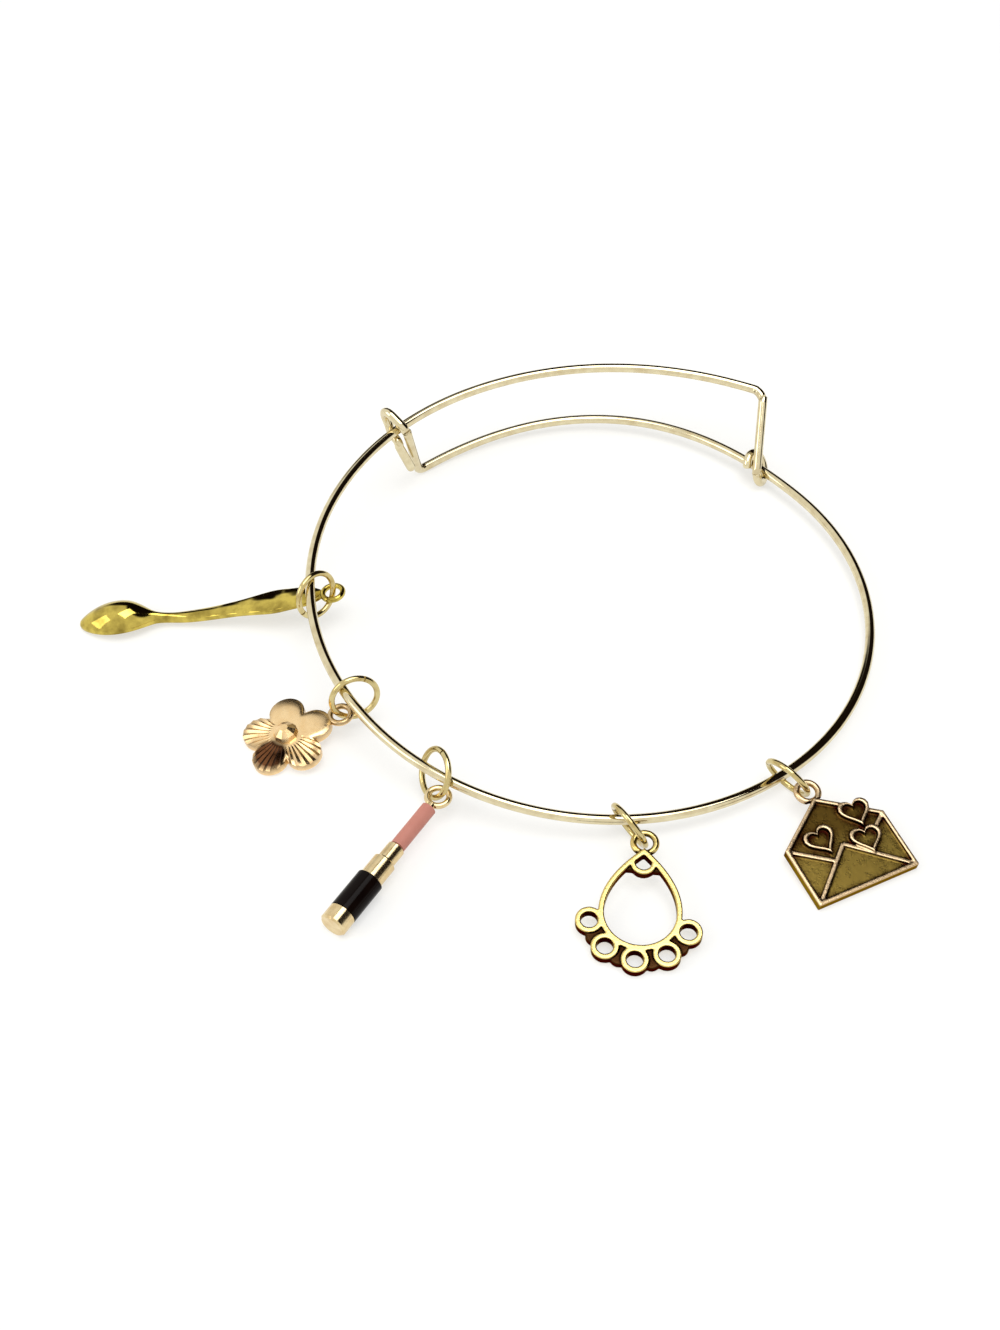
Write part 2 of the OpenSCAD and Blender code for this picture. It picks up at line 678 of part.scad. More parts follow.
// The tip's hole lies just inside the rims. Its ring is a little narrower than they are, and
// the web beside it ends before the ring does. The webs are sunk by a share of the thickness.
tip_ring_share = 0.9;
tip_ring_r = tip_hole_d / 2 + tear_rim * tip_ring_share;
tip_hole_in = 0.05;
tip_hole_place = inner_tip + tip_hole_d / 2 + tip_hole_in;
tip_web_share = 0.65;
web_sunk_share = 0.25;
web_depth = tear_t * web_sunk_share;
tear_under = tear_t / 2;
tear_feet = [[tear_drop + foot_place + foot_r, tear_under]];
module outer_tear() polygon(tear_outline(tear_r, tear_tip));
module inner_tear() polygon(tear_outline(tear_r - tear_rim, inner_tip));
module round_the_foot(row, place) {
    for (i = row)
        translate([tear_drop, 0])
        rotate(foot_turn + i * foot_step)
        translate([place, 0])
        children();
}
module tip_hole() intersection() {
    translate([tip_hole_place, 0]) circle(d = tip_hole_d, $fn = 28);
    inner_tear();
}
module teardrop_charm() {
    foot_rings = [-2 : 2];
    foot_webs = [-1.5 : 1.5];
    web_end = tip_hole_place + tip_ring_r * tip_web_share;
    color(antique_brass)
    hung(teardrop_hang, tear_feet) {
        charm_loop();
        translate([0, 0, -tear_under])
        difference() {
            union() {
                linear_extrude(tear_t) difference() {
                    outer_tear();
                    inner_tear();
                }
                linear_extrude(tear_t) round_the_foot(foot_rings, foot_place) circle(foot_r, $fn = 32);
                linear_extrude(tear_t) intersection() {
                    translate([tip_hole_place, 0]) circle(tip_ring_r, $fn = 32);
                    outer_tear();
                }
                linear_extrude(tear_t - web_depth) intersection() {
                    inner_tear();
                    translate([inner_tip, -tear_r]) square([web_end - inner_tip, 2 * tear_r]);
                }
                linear_extrude(tear_t - web_depth)
                round_the_foot(foot_webs, foot_place)
                circle(foot_web_r, $fn = 20);
            }
            translate([0, 0, -tear_t]) linear_extrude(3 * tear_t) {
                round_the_foot(foot_rings, foot_place) circle(d = foot_hole_d, $fn = 28);
                tip_hole();
                circle(d = loop_hole_d, $fn = 28);
            }
        }
    }
}

// Envelope. Rims, folds and hearts stand on a sunk field.
// Where the flap's tip lies on the loop, as a share of the loop's radius
flap_on_loop = 0.9;
flap_tip = loop_r * flap_on_loop;
shoulder = flap_tip + flap_h;
envelope_end = shoulder + envelope_h;
half_w = envelope_w / 2;
envelope_under = envelope_t / 2;
// The folds meet a share of the way down the body. The upper ones end a share of the way along
// the lower ones. They are a little lower than the rims.
fold_down = 0.24;
fold_apex = [shoulder + envelope_h * fold_down, 0];
fold_share = 0.72;
fold_sink = field_depth / 4;
envelope_feet = [[envelope_end, envelope_under]];
envelope_outline = [
    [flap_tip, 0],
    [shoulder, half_w],
    [envelope_end, half_w],
    [envelope_end, -half_w],
    [shoulder, -half_w]
];
// Columns: place along and across the envelope as shares of its length and its half width,
// and turn of the heart
heart_rows = [
    [0.41, -0.32, 8],
    [0.28, 0.53, -4],
    [0.57, 0.44, -6]
];
heart_steps = 28;
// A heart's outline, 1 wide, with its notch towards -X and its tip towards +X
heart_outline = [for (i = [0 : heart_steps - 1])
    let (a = 360 * i / heart_steps)
    [
        -(13 * cos(a) - 5 * cos(2 * a) - 2 * cos(3 * a) - cos(4 * a)) / 32,
        16 * pow(sin(a), 3) / 32
    ]];
module at_hearts() {
    for (row = heart_rows)
        translate([flap_tip + row[0] * (envelope_end - flap_tip), row[1] * half_w])
        rotate(row[2])
        children();
}
module line(a, b, w) {
    d = unit(b - a);
    n = [-d[1], d[0]] * w / 2;
    polygon([a - n, b - n, b + n, a + n]);
}
module folds() {
    for (side = [-1, 1]) {
        corner = [envelope_end, side * half_w];
        line(corner, fold_apex, fold_w);
        line([shoulder, side * half_w], corner + fold_share * (fold_apex - corner), fold_w);
    }
}
module field() {
    k = envelope_rim * (norm([flap_h, half_w]) / half_w);
    inset = envelope_rim * (norm([flap_h, half_w]) - flap_h) / half_w;
    polygon([
        [flap_tip + k, 0],
        [shoulder + inset, half_w - envelope_rim],
        [envelope_end - envelope_rim, half_w - envelope_rim],
        [envelope_end - envelope_rim, -half_w + envelope_rim],
        [shoulder + inset, -half_w + envelope_rim]
    ]);
}
module envelope_charm() {
    heart_in = heart_w - 2 * heart_line;
    color(antique_brass)
    hung(envelope_hang, envelope_feet) {
        translate([0, 0, -envelope_under])
        difference() {
            union() {
                linear_extrude(envelope_t - field_depth) {
                    polygon(envelope_outline);
                    at_hearts() scale(heart_w) polygon(heart_outline);
                }
                linear_extrude(envelope_t) difference() {
                    polygon(envelope_outline);
                    field();
                }
                linear_extrude(envelope_t - fold_sink) intersection() {
                    folds();
                    polygon(envelope_outline);
                }
                linear_extrude(envelope_t + heart_rise)
                at_hearts()
                scale(heart_w)
                polygon(heart_outline);
            }
            translate([0, 0, envelope_t - field_depth])
            linear_extrude(2 * field_depth + heart_rise)
            at_hearts()
            scale(heart_in)
            polygon(heart_outline);
        }
        difference() {
            charm_loop();
            translate([loop_r, -loop_r, -loop_wire_d])
            cube([loop_r, 2 * loop_r, 2 * loop_wire_d]);
        }
    }
}

bangle_wire();
spoon_ring();
flower_ring();
lipstick_ring();
teardrop_ring();
envelope_ring();
spoon_charm();
flower_charm();
lipstick_body();
lipstick_black_enamel();
lipstick_pink_enamel();
teardrop_charm();
envelope_charm();
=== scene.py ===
# %% [markdown]
# This lesson dresses a charm bangle: one springy wire, closed by two sliding hooks, with five small
# cast charms on jump rings. The CAD frame gives every piece its place and its size. Blender gives
# the skin: round wire, softly cast edges, gold plate, dark patina and enamel. Each piece is built
# where its CAD solid lies, so nothing is fitted by eye.

# %% Load the frame
import math

import bmesh
import bpy
import numpy as np
from mathutils import Matrix, Vector


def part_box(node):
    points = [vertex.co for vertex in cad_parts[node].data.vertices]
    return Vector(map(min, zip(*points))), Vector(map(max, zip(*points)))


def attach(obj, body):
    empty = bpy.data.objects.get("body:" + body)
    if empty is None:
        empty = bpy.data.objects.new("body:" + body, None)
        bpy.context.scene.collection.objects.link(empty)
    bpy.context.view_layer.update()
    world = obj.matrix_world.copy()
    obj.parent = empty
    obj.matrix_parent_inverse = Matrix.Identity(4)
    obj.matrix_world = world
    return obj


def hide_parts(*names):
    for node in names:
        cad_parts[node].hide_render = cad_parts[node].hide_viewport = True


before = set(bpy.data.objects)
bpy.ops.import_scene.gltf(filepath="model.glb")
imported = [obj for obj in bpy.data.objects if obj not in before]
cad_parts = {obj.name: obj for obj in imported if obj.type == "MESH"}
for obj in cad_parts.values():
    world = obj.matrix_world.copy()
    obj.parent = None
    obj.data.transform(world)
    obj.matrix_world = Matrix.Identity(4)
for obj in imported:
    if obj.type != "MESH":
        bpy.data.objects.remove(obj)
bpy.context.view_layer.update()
MM = 0.001

# %% [markdown]
# The camera is worked out from the ring. A circle seen at a slant is an ellipse, and how much its
# near side is widened tells how close the lens was. The fit gave a lens 195 mm away, looking down
# at 47 degrees. A camera that looks along +Y and is then tipped down needs one rotation, about X.

# %% Camera
CAMERA_TARGET = Vector((-10.18, -7.60, 0.0)) * MM
CAMERA_DISTANCE = 195 * MM
CAMERA_ELEVATION = math.radians(47)
LENS_MM = 48.05
SENSOR_MM = 36


def place_camera():
    lens = bpy.data.cameras.new("camera")
    lens.lens = LENS_MM
    lens.sensor_width = SENSOR_MM
    lens.clip_start = 5 * MM
    camera = bpy.data.objects.new("camera", lens)
    bpy.context.scene.collection.objects.link(camera)
    back = Vector((0, -math.cos(CAMERA_ELEVATION), math.sin(CAMERA_ELEVATION)))
    camera.location = CAMERA_TARGET + CAMERA_DISTANCE * back
    camera.rotation_euler = (math.pi / 2 - CAMERA_ELEVATION, 0, 0)
    bpy.context.scene.camera = camera
    return camera


camera = place_camera()
print("the camera is", round(camera.location.z / MM), "mm above the floor")

# %% [markdown]
# Polished metal has almost no colour of its own: it shows the room. So the room comes before the
# materials. The photographed wire is cream with a thin dark line that wanders from edge to edge as
# the wire turns. Following that line round the ring tells where the room is dark: a broad dark
# side at the back right, and a low dark strip straight behind. Everything else is bright. Each of
# the two is a soft round patch in the world, and the darker of them counts.

# %% World
SKY_BRIGHT = (1.0, 0.985, 0.95, 1)
SKY_DARK = (0.010, 0.006, 0.004, 1)
SKY_STRENGTH = 1.0
# Each dark patch: the way that its middle lies, and the cosines where it starts and is full
DARK_PATCHES = (
    (Vector((0.70, 0.48, 0.53)).normalized(), 0.64, 0.74),
    (Vector((0.05, 0.97, 0.24)).normalized(), 0.80, 0.90),
)


def dark_patch(nodes, links, ways, middle, edge, full):
    """How far a direction lies inside one dark patch, from 0 to 1."""
    toward = nodes.new("ShaderNodeVectorMath")
    toward.operation = "DOT_PRODUCT"
    toward.inputs[1].default_value = middle
    links.new(ways, toward.inputs[0])
    inside = nodes.new("ShaderNodeMapRange")
    inside.interpolation_type = "SMOOTHSTEP"
    inside.inputs["From Min"].default_value = edge
    inside.inputs["From Max"].default_value = full
    links.new(toward.outputs["Value"], inside.inputs["Value"])
    return inside.outputs["Result"]


def make_world():
    world = bpy.data.worlds.new("studio")
    bpy.context.scene.world = world
    world.use_nodes = True
    nodes = world.node_tree.nodes
    links = world.node_tree.links
    nodes.clear()
    ways = nodes.new("ShaderNodeTexCoord").outputs["Generated"]
    darker = nodes.new("ShaderNodeMath")
    darker.operation = "MAXIMUM"
    for socket, patch in zip(darker.inputs, DARK_PATCHES):
        links.new(dark_patch(nodes, links, ways, *patch), socket)
    mix = nodes.new("ShaderNodeMix")
    mix.data_type = "RGBA"
    mix.inputs["A"].default_value = SKY_BRIGHT
    mix.inputs["B"].default_value = SKY_DARK
    links.new(darker.outputs["Value"], mix.inputs["Factor"])
    background = nodes.new("ShaderNodeBackground")
    background.inputs["Strength"].default_value = SKY_STRENGTH
    links.new(mix.outputs["Result"], background.inputs["Color"])
    out = nodes.new("ShaderNodeOutputWorld")
    links.new(background.outputs["Background"], out.inputs["Surface"])
    return world


make_world()
scene = bpy.context.scene
scene.view_settings.view_transform = "Standard"
scene.view_settings.look = "None"
print("the sky has", len(DARK_PATCHES), "dark patches")

# %% [markdown]
# Two soft boxes do the rest. A soft box is an area light: its size sets how soft the shadows are,
# and its shape is what the metal mirrors. The big one hangs overhead, the smaller one stands at
# the left.

# %% Lights
def softbox(name, place, target, width, height, power, colour=(1, 1, 1)):
    light = bpy.data.lights.new(name, "AREA")
    light.shape = "RECTANGLE"
    light.size = width
    light.size_y = height
    light.energy = power
    light.color = colour
    lamp = bpy.data.objects.new(name, light)
    bpy.context.scene.collection.objects.link(lamp)
    lamp.location = Vector(place)
    aim = Vector(target) - Vector(place)
    lamp.rotation_euler = aim.to_track_quat("-Z", "Y").to_euler()
    return lamp


RING_MIDDLE = (0, 0, 0)
WARM_WHITE = (1.0, 0.97, 0.92)
softbox("overhead_box", (0.05, -0.05, 0.55), RING_MIDDLE, width=0.45, height=0.35, power=1.6)
softbox("left_box", (-0.45, -0.15, 0.30), RING_MIDDLE, width=0.25, height=0.30, power=0.5, colour=WARM_WHITE)
print("two soft boxes are up")

# %% [markdown]
# Every finish below is a small tree of nodes on one shader. A few helpers keep the trees readable:
# one starts a material, one makes a cloudy noise, one stretches a value from one range to another,
# one blends two colours, one multiplies, and one raises the surface. A bump only tilts the light's
# angle, so it costs no faces; that suits marks far smaller than a face.

# %% Helpers for materials
def new_material(name):
    material = bpy.data.materials.new(name)
    material.use_nodes = True
    nodes = material.node_tree.nodes
    return material, nodes, material.node_tree.links, nodes["Principled BSDF"]


def noise(nodes, links, coordinates, scale, detail=3.0, roughness=0.5):
    """A cloudy pattern whose clumps are about 1 / scale metres wide."""
    texture = nodes.new("ShaderNodeTexNoise")
    texture.inputs["Scale"].default_value = scale
    texture.inputs["Detail"].default_value = detail
    texture.inputs["Roughness"].default_value = roughness
    links.new(coordinates, texture.inputs["Vector"])
    return texture.outputs["Fac"]


def spread(nodes, links, value, low, high, to_low, to_high):
    """Stretches a value from one range to another, and stops at the ends."""
    stretch = nodes.new("ShaderNodeMapRange")
    stretch.inputs["From Min"].default_value = low
    stretch.inputs["From Max"].default_value = high
    stretch.inputs["To Min"].default_value = to_low
    stretch.inputs["To Max"].default_value = to_high
    links.new(value, stretch.inputs["Value"])
    return stretch.outputs["Result"]


def blend_colours(nodes, links, share, first, second):
    """first where share is 0, second where it is 1. Each is a colour or another node's output."""
    mix = nodes.new("ShaderNodeMix")
    mix.data_type = "RGBA"
    links.new(share, mix.inputs["Factor"])
    for socket, colour in (("A", first), ("B", second)):
        if isinstance(colour, tuple):
            mix.inputs[socket].default_value = colour
        else:
            links.new(colour, mix.inputs[socket])
    return mix.outputs["Result"]


def times(nodes, links, first, second):
    product = nodes.new("ShaderNodeMath")
    product.operation = "MULTIPLY"
    links.new(first, product.inputs[0])
    links.new(second, product.inputs[1])
    return product.outputs["Value"]


def bump(nodes, links, height, depth, under=None):
    """Bumps depth metres deep that follow height, on top of other bumps where under is given."""
    raised = nodes.new("ShaderNodeBump")
    raised.inputs["Strength"].default_value = 1.0
    raised.inputs["Distance"].default_value = depth
    links.new(height, raised.inputs["Height"])
    if under is not None:
        links.new(under, raised.inputs["Normal"])
    return raised.outputs["Normal"]


print("the helpers for materials are ready")

# %% [markdown]
# The floor is a plain pale sheet. It is drawn far past the frame, because the metal mirrors it to
# the horizon. Most of its brightness is a glow of its own, as if it were lit from below: that keeps
# the shadows under such thin wire faint. A slight noise keeps it from being one flat number.

# %% Floor
FLOOR_HALF = 3.0
FLOOR_COLOUR = (0.42, 0.42, 0.415, 1)
FLOOR_GLOW = 0.56


def make_floor():
    material, nodes, links, shader = new_material("floor")
    where = nodes.new("ShaderNodeTexCoord").outputs["Object"]
    cloud = noise(nodes, links, where, 12)
    paler = tuple(min(1.0, c * 1.02) for c in FLOOR_COLOUR[:3]) + (1,)
    links.new(blend_colours(nodes, links, cloud, FLOOR_COLOUR, paler), shader.inputs["Base Color"])
    shader.inputs["Roughness"].default_value = 0.9
    shader.inputs["Specular IOR Level"].default_value = 0.1
    shader.inputs["Emission Color"].default_value = (1.0, 1.0, 0.99, 1)
    shader.inputs["Emission Strength"].default_value = FLOOR_GLOW
    mesh = bpy.data.meshes.new("floor")
    corner = FLOOR_HALF
    mesh.from_pydata(
        [(-corner, -corner, 0), (corner, -corner, 0), (corner, corner, 0), (-corner, corner, 0)],
        [],
        [(0, 1, 2, 3)],
    )
    mesh.materials.append(material)
    floor = bpy.data.objects.new("floor", mesh)
    bpy.context.scene.collection.objects.link(floor)
    return floor


make_floor()
print("the floor is", 2 * FLOOR_HALF, "m wide")

# %% [markdown]
# Some finishes differ from place to place: a petal with a painted dark reflection, a sunk field, a
# carved handle. Noise can't know these places, but the mesh does. So a number for each vertex is
# kept on the mesh, and the material reads it by its name.

# %% Numbers kept on a mesh
def store(mesh, name, values):
    """Keeps a number for each vertex on the mesh, where a material can read it."""
    layer = mesh.attributes.new(name, "FLOAT", "POINT")
    layer.data.foreach_set("value", values)


def stored(nodes, name):
    """The number that store kept for each vertex."""
    layer = nodes.new("ShaderNodeAttribute")
    layer.attribute_name = name
    return layer.outputs["Fac"]


print("meshes can tell their materials where they are stained, sunk or carved")

# %% [markdown]
# Every metal here is a thin bright plate over cheap castings. A plate varies a little: it is
# warmer where it is thin, and polishing leaves fine marks. One function makes all of them, and each
# finish is a call with its own colours. The marks are a very fine noise that drives bump and
# roughness together, since a mark is both a dent and a duller spot.

# %% Plated metal
MICROMETRE = 1e-6


def plated(name, colour, warm, rough, mark, wave, clump=900.0, painted_dark=None, carved=False):
    """A polished plate. warm is the tint of its thin places, mark is how deep its marks are, in
    micrometres, and wave how deep its soft unevenness is, in clumps of about 1 / clump metres. The
    dark colour, where one is given, is painted dark reflection and painted shade, and lies where the
    mesh stores it. A carved plate has its unevenness only where the mesh is carved."""
    material, nodes, links, shader = new_material(name)
    where = nodes.new("ShaderNodeTexCoord").outputs["Object"]
    cloud = noise(nodes, links, where, clump, 4.0)
    tint = blend_colours(nodes, links, spread(nodes, links, cloud, 0.35, 0.7, 0.0, 1.0), colour, warm)
    # Painted dark reflection and painted shade, where the mesh stores them
    if painted_dark:
        tint = blend_colours(nodes, links, stored(nodes, "painted_dark"), tint, painted_dark)
    links.new(tint, shader.inputs["Base Color"])
    shader.inputs["Metallic"].default_value = 1.0
    fine = noise(nodes, links, where, 9000, 2.0)
    links.new(spread(nodes, links, fine, 0.3, 0.7, rough * 0.7, rough * 1.4), shader.inputs["Roughness"])
    height = noise(nodes, links, where, clump * 0.6, 1.0)
    if carved:
        height = times(nodes, links, height, stored(nodes, "carved"))
    marks = bump(nodes, links, fine, mark * MICROMETRE)
    links.new(bump(nodes, links, height, wave * MICROMETRE, under=marks), shader.inputs["Normal"])
    return material


wire_plate = plated("wire_plate", (0.75, 0.67, 0.45, 1), (0.62, 0.52, 0.32, 1), 0.07, 1.0, 6.0)
ring_plate = plated("ring_plate", (0.66, 0.56, 0.28, 1), (0.50, 0.38, 0.15, 1), 0.12, 1.0, 4.0)
print("plated finishes:", wire_plate.name, ring_plate.name)

# %% [markdown]
# A piece that is made from its CAD solid starts as a copy of it. The CAD faces don't share their
# vertices, so the copy is welded first; then its edges know which faces meet there.

# %% Copy a CAD solid
WELD = 2e-6


def welded(node):
    """The CAD node's mesh with its seams closed."""
    solid = bmesh.new()
    solid.from_mesh(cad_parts[node].data)
    bmesh.ops.remove_doubles(solid, verts=solid.verts, dist=WELD)
    bmesh.ops.recalc_face_normals(solid, faces=solid.faces)
    return solid


def join_triangles(solid, face_angle, shape_angle):
    """Joins pairs of triangles into four-sided faces, where they are flat and square enough."""
    bmesh.ops.join_triangles(
        solid,
        faces=solid.faces,
        angle_face_threshold=math.radians(face_angle),
        angle_shape_threshold=math.radians(shape_angle),
    )


def new_piece(name, mesh):
    piece = bpy.data.objects.new(name, mesh)
    bpy.context.scene.collection.objects.link(piece)
    return piece


def piece_from(name, solid):
    """Makes an object of a solid that is being edited."""
    mesh = bpy.data.meshes.new(name)
    solid.to_mesh(mesh)
    solid.free()
    return new_piece(name, mesh)


def shade_smooth(mesh):
    mesh.polygons.foreach_set("use_smooth", [True] * len(mesh.polygons))


wire_solid = welded("bangle_wire")
print("the CAD wire has", len(wire_solid.faces), "faces")

# %% [markdown]
# A round wire is a path and a radius. The CAD wire has twelve flat sides, and its rings of
# vertices are centred on the real path, so the path is read back from it: start at the flat
# end, and step from ring to ring through the edges. A smooth curve through the rings' middles,
# swept with more sides, is a truly round wire in just the same place.

# %% Middle of the wire
FLAT_COSINE = math.cos(math.radians(0.5))
RING_SIDES = 12


def flat_patch(start, seen):
    """The faces that lie in one plane with start and are joined to it."""
    patch = [start]
    seen.add(start)
    for face in patch:
        for edge in face.edges:
            for other in edge.link_faces:
                if other not in seen and other.normal.dot(start.normal) > FLAT_COSINE:
                    seen.add(other)
                    patch.append(other)
    return patch


def patch_width(patch):
    points = np.array([vertex.co for face in patch for vertex in face.verts])
    return np.ptp(points, axis=0).max()


def middle_line(solid):
    """The middle and the radius of each ring of vertices, from one flat end to the other."""
    seen = set()
    patches = [flat_patch(face, seen) for face in solid.faces if face not in seen]
    ends = [patch for patch in patches if len(patch) == RING_SIDES - 2]
    ring = {vertex for face in min(ends, key=patch_width) for vertex in face.verts}
    passed = set(ring)
    line = []
    while ring:
        points = np.array([vertex.co for vertex in ring])
        middle = points.mean(axis=0)
        line.append((*middle, np.linalg.norm(points - middle, axis=1).mean()))
        ring = {edge.other_vert(v) for v in ring for edge in v.link_edges} - passed
        passed |= ring
    return np.array(line)


wire_line = middle_line(wire_solid)
wire_solid.free()
lengths = np.linalg.norm(np.diff(wire_line[:, :3], axis=0), axis=1)
print(len(wire_line), "rings,", round(lengths.sum() / MM), "mm of wire")

# %% [markdown]
# Between the rings' middles the path has to be rounded without moving them. A Catmull-Rom curve
# passes through every point that it is given, which keeps the hooks' tight turns where the CAD has
# them.

# %% Smooth line
def smooth_line(line, step):
    """Points no more than step apart on a smooth curve through the line's points."""
    padded = np.vstack([2 * line[0] - line[1], line, 2 * line[-1] - line[-2]])
    made = []
    for i in range(1, len(padded) - 2):
        before, a, b, after = padded[i - 1 : i + 3]
        count = max(1, math.ceil(np.linalg.norm((b - a)[:3]) / step))
        for u in np.arange(count) / count:
            made.append(
                0.5
                * (
                    2 * a
                    + (b - before) * u
                    + (2 * before - 5 * a + 4 * b - after) * u**2
                    + (3 * a - before - 3 * b + after) * u**3
                )
            )
    made.append(line[-1])
    return np.array(made)


WIRE_STEP = 0.35
smooth_wire = smooth_line(wire_line, WIRE_STEP * MM)
print("the smooth path has", len(smooth_wire), "points")

# %% [markdown]
# The sweep carries a small cross from point to point and turns it only as much as the path turns,
# so the wire doesn't twist.

# %% Sweep
def swept(name, line, sides):
    """A round bar along line, whose columns are x, y, z and radius, with closed ends."""
    way = np.gradient(line[:, :3], axis=0)
    way /= np.linalg.norm(way, axis=1)[:, None]
    across = np.cross(way[0], (0.0, 0.0, 1.0))
    points = []
    for place, ahead in zip(line, way):
        across = across - across.dot(ahead) * ahead
        across /= np.linalg.norm(across)
        up = np.cross(ahead, across)
        turn = 2 * np.pi * np.arange(sides) / sides
        points.append(place[:3] + place[3] * (np.outer(np.cos(turn), across) + np.outer(np.sin(turn), up)))
    faces = [
        (i * sides + k, i * sides + (k + 1) % sides, (i + 1) * sides + (k + 1) % sides, (i + 1) * sides + k)
        for i in range(len(line) - 1)
        for k in range(sides)
    ]
    faces.append(tuple(reversed(range(sides))))
    faces.append(tuple((len(line) - 1) * sides + k for k in range(sides)))
    mesh = bpy.data.meshes.new(name)
    mesh.from_pydata([tuple(point) for point in np.concatenate(points)], [], faces)
    shade_smooth(mesh)
    return new_piece(name, mesh)


WIRE_SIDES = 20
# A twelve-sided bar is thinner than its corners; this share makes a round one of the same weight
SAME_WEIGHT = math.sqrt(RING_SIDES / (2 * math.pi) * math.sin(2 * math.pi / RING_SIDES))
smooth_wire[:, 3] *= SAME_WEIGHT
bangle = swept("bangle_wire_round", smooth_wire, WIRE_SIDES)
print("the round wire is", round(2 * smooth_wire[:, 3].max() / MM, 2), "mm thick")

# %% [markdown]
# A finished piece hides the CAD nodes that it stands for and moves with their body. Each piece is
# dressed by the same few calls.

# %% Dress
def dress(piece, material, slot, *nodes):
    """Gives a piece its finish and lets it stand for its CAD nodes."""
    piece.data.materials.clear()
    piece.data.materials.append(material)
    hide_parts(*nodes)
    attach(piece, "root")
    print(piece.name, "has", len(piece.data.polygons), "faces")
    return piece


dress(bangle, wire_plate, "pale_gold_wire", "bangle_wire")

# %% [markdown]
# The jump rings' solids are true rounds already, so they stay as they are and only take the plate.

# %% Jump rings
def finish_node(node, material):
    """Gives a CAD node its finish."""
    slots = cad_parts[node].material_slots
    for slot in slots:
        slot.material = material
    if not slots:
        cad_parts[node].data.materials.append(material)


for ring in ("spoon_ring", "flower_ring", "lipstick_ring", "teardrop_ring", "envelope_ring"):
    finish_node(ring, ring_plate)
print("five jump rings are plated")

# %% [markdown]
# Each charm is drawn flat, with its loop's middle at zero and its length along X, and then laid in
# its place. These are the places: the middle of the loop in millimetres, the way the charm points
# on the floor, and how far it dips, in degrees. The same matrix takes a CAD solid back to the
# charm's own axes, where shaping it is easy.

# %% Places of the charms
PLACES = {
    "spoon": ((-28.720, -0.568, 4.194), -177.7, 7.831),
    "flower": ((-26.977, -16.899, 2.308), -158.5, 9.683),
    "lipstick": ((-16.415, -28.065, 2.422), -123.2, 3.218),
    "teardrop": ((4.098, -34.072, 2.633), -96.0, 8.514),
    "envelope": ((20.944, -27.425, 2.394), -64.0, 9.216),
}


def own_axes(charm):
    """The matrix that takes the charm's own axes to the frame."""
    middle, heading, dip = PLACES[charm]
    turn = Matrix.Rotation(math.radians(heading), 4, "Z") @ Matrix.Rotation(math.radians(dip), 4, "Y")
    return Matrix.Translation(Vector(middle) * MM) @ turn


for charm in PLACES:
    node = charm + ("_body" if charm == "lipstick" else "_charm")
    low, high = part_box(node)
    far = own_axes(charm).inverted() @ ((low + high) / 2)
    print(charm, "is centred", [round(c / MM, 2) for c in far], "mm from its loop")

# %% [markdown]
# A casting has no sharp edges: wax and metal round them all. To get that, the solid is rebuilt as
# a fine even skin (a voxel remesh) in the charm's own axes, and that skin is relaxed a little. The
# relaxing rounds rims, hearts and inner corners alike.

# %% Cast copies
def apply_modifiers(piece):
    """Puts what the piece's modifiers make in the place of its mesh, smoothly shaded."""
    graph = bpy.context.evaluated_depsgraph_get()
    made = bpy.data.meshes.new_from_object(piece.evaluated_get(graph))
    piece.modifiers.clear()
    piece.data = made
    shade_smooth(made)
    return made


# Up to this length in mm the charm is its loop, which is bright all over
LOOP_REACH = 1.6
# Faces that look up or down by more than this are flat; of a wall, only the upper edge is rubbed,
# and the rest of it keeps the dark, which is partly patina and partly painted shade
FLAT_FACING = 0.6


def store_relief(mesh, sunk, raised):
    """Stores each vertex's place along the charm, and how high it stands between the two heights."""
    count = len(mesh.vertices)
    places = np.empty(3 * count, dtype=np.float32)
    facing = np.empty(3 * count, dtype=np.float32)
    mesh.vertices.foreach_get("co", places)
    mesh.vertex_normals.foreach_get("vector", facing)
    along, _, height = places.reshape(-1, 3).T / MM
    flat = np.abs(facing.reshape(-1, 3)[:, 2]) > FLAT_FACING
    relief = np.clip((np.where(flat, np.abs(height), height) - sunk) / (raised - sunk), 0, 1)
    store(mesh, "relief", np.where(along > LOOP_REACH, relief, 1.0))
    store(mesh, "along", along)


def cast_copy(name, charm, node, voxel, rounds, sunk, raised):
    """A softened copy of a CAD node, in its place. voxel is in mm, and rounds the relaxing steps.
    sunk and raised are the heights in mm where its relief starts and is full."""
    solid = welded(node)
    solid.transform(own_axes(charm).inverted())
    piece = piece_from(name, solid)
    skin = piece.modifiers.new("skin", "REMESH")
    skin.mode = "VOXEL"
    skin.voxel_size = voxel * MM
    relax = piece.modifiers.new("relax", "SMOOTH")
    relax.factor = 0.5
    relax.iterations = rounds
    made = apply_modifiers(piece)
    store_relief(made, sunk, raised)
    made.transform(own_axes(charm))
    return piece


print("a casting's loop reaches", LOOP_REACH, "mm from the loop's middle")

# %% [markdown]
# Antique plate is gold that was dipped dark and rubbed: the dark stays on the sunk fields, and the
# rims come up bright. Two masks say where. The relief is the height over the sunk field, stored on
# the mesh in the charm's own axes: rubbing reaches what stands high. The ambient occlusion node
# measures how closed in a place is. There, along the rims, in the corners and in the small holes,
# the colour goes darker: partly patina and partly painted shade. A little noise keeps the rubbing uneven.

# %% Antique plate
EDGE_BROWN = (0.5, 0.36, 0.2, 1)
# How much the noise adds to the openness, which is 1 in the open and 0 where a place is closed in
UNEVENNESS = 0.3
# The openness from which the patina and painted shade go, and from which a rim can be rubbed bright
OPEN = (0.82, 1.10)
OPEN_FOR_RUBBING = (0.90, 1.06)
# The stored relief at which the rubbing starts and is full
RUBBED_RELIEF = (0.4, 0.8)
# The lengths along the charm where the field turns to its far colour, in mm
FAR_END = (5.0, 7.5)
# How deep the casting's pits are, in mm
PIT_DEPTH = 0.012


